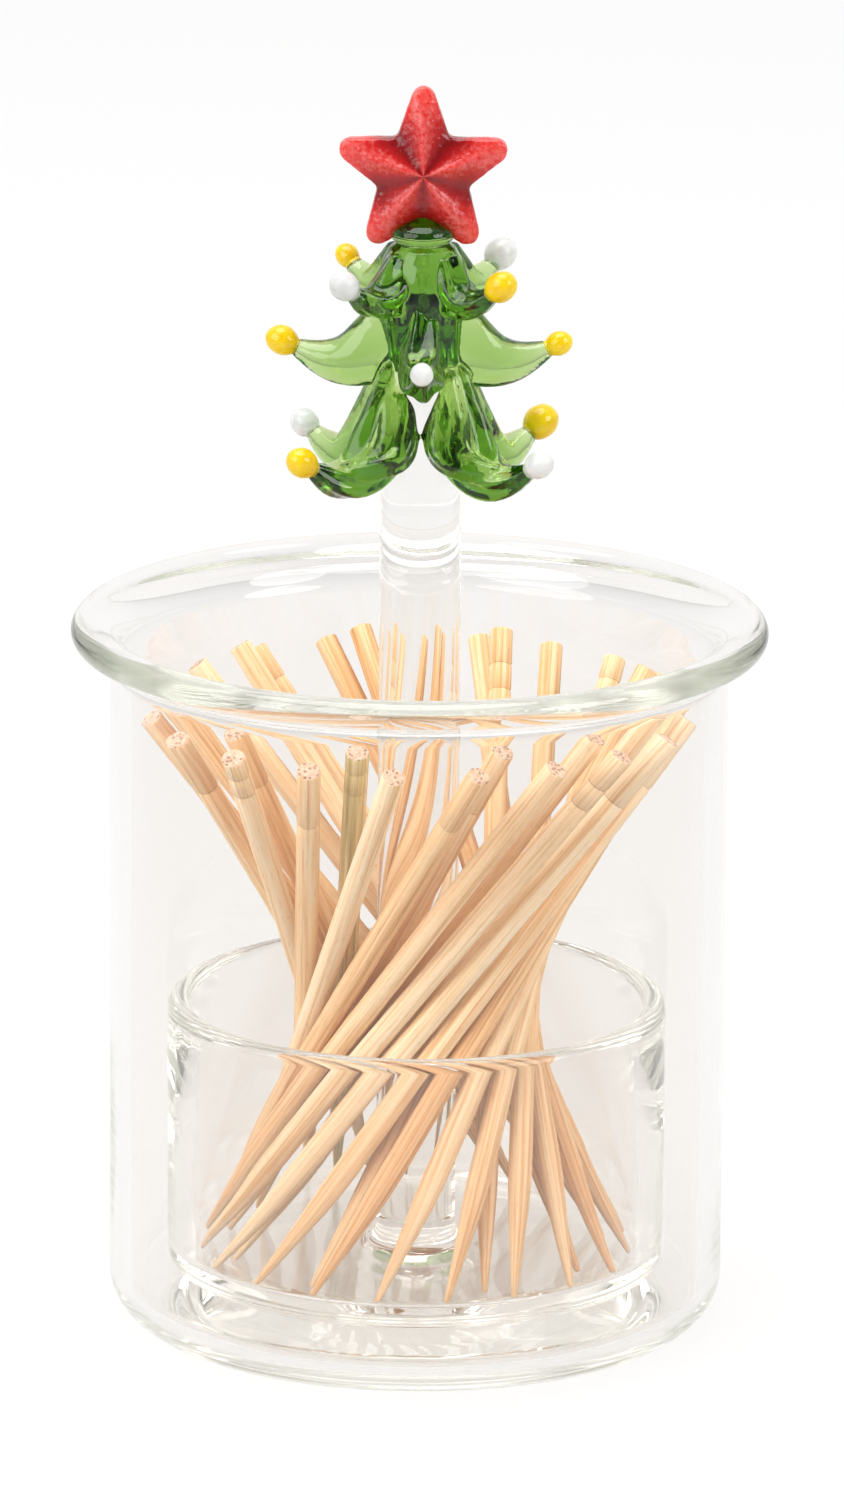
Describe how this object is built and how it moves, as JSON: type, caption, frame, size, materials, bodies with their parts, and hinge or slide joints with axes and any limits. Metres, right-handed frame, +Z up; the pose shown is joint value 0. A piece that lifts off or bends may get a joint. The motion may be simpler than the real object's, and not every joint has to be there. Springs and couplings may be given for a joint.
{
  "type": "toothpick holder",
  "caption": "Clear glass jar toothpick holder with a lift-out inner cup on a glass rod topped by a green glass Christmas tree and red star, filled with bamboo toothpicks.",
  "frame": {"origin": "centre of the jar's base, on the surface it stands on", "axes": "+Z up along the jar and rod axis, +X to the right seen from the front, the star faces -Y"},
  "size_m": [0.0654, 0.0654, 0.119],
  "materials": {
    "clear_glass": "clear polished borosilicate glass",
    "green_glass": "transparent green lampworked glass",
    "white_glass": "glossy opal white glass",
    "yellow_glass": "glossy opaque yellow glass",
    "red_glass": "pebbled red glass",
    "bamboo": "bare turned bamboo with long grain"
  },
  "bodies": {
    "jar": {"outer_jar": "clear_glass"},
    "insert": {"lift_cup": "clear_glass", "stem_rod": "clear_glass", "tree_cap": "green_glass", "branch_top_1": "green_glass", "branch_top_2": "green_glass", "branch_top_3": "green_glass", "branch_top_4": "green_glass", "branch_mid_1": "green_glass", "branch_mid_2": "green_glass", "branch_mid_3": "green_glass", "branch_mid_4": "green_glass", "branch_low_1": "green_glass", "branch_low_2": "green_glass", "branch_low_3": "green_glass", "branch_low_4": "green_glass", "bead_top_1": "white_glass", "bead_top_2": "yellow_glass", "bead_top_3": "white_glass", "bead_top_4": "yellow_glass", "bead_mid_1": "yellow_glass", "bead_mid_2": "white_glass", "bead_mid_3": "yellow_glass", "bead_mid_4": "white_glass", "bead_low_1": "yellow_glass", "bead_low_2": "white_glass", "bead_low_3": "yellow_glass", "bead_low_4": "white_glass", "star": "red_glass", "toothpick_01": "bamboo", "toothpick_02": "bamboo", "toothpick_03": "bamboo", "toothpick_04": "bamboo", "toothpick_05": "bamboo", "toothpick_06": "bamboo", "toothpick_07": "bamboo", "toothpick_08": "bamboo", "toothpick_09": "bamboo", "toothpick_10": "bamboo", "toothpick_11": "bamboo", "toothpick_12": "bamboo", "toothpick_13": "bamboo", "toothpick_14": "bamboo", "toothpick_15": "bamboo", "toothpick_16": "bamboo", "toothpick_17": "bamboo", "toothpick_18": "bamboo", "toothpick_19": "bamboo", "toothpick_20": "bamboo", "toothpick_21": "bamboo", "toothpick_22": "bamboo", "toothpick_23": "bamboo", "toothpick_24": "bamboo", "toothpick_25": "bamboo", "toothpick_26": "bamboo", "toothpick_27": "bamboo", "toothpick_28": "bamboo", "toothpick_29": "bamboo", "toothpick_30": "bamboo"}
  },
  "joints": [
    {"name": "insert_lift", "type": "slide", "parent": "jar", "child": "insert", "axis": [0, 0, 1], "range_m": [0, 0.07]}
  ]
}
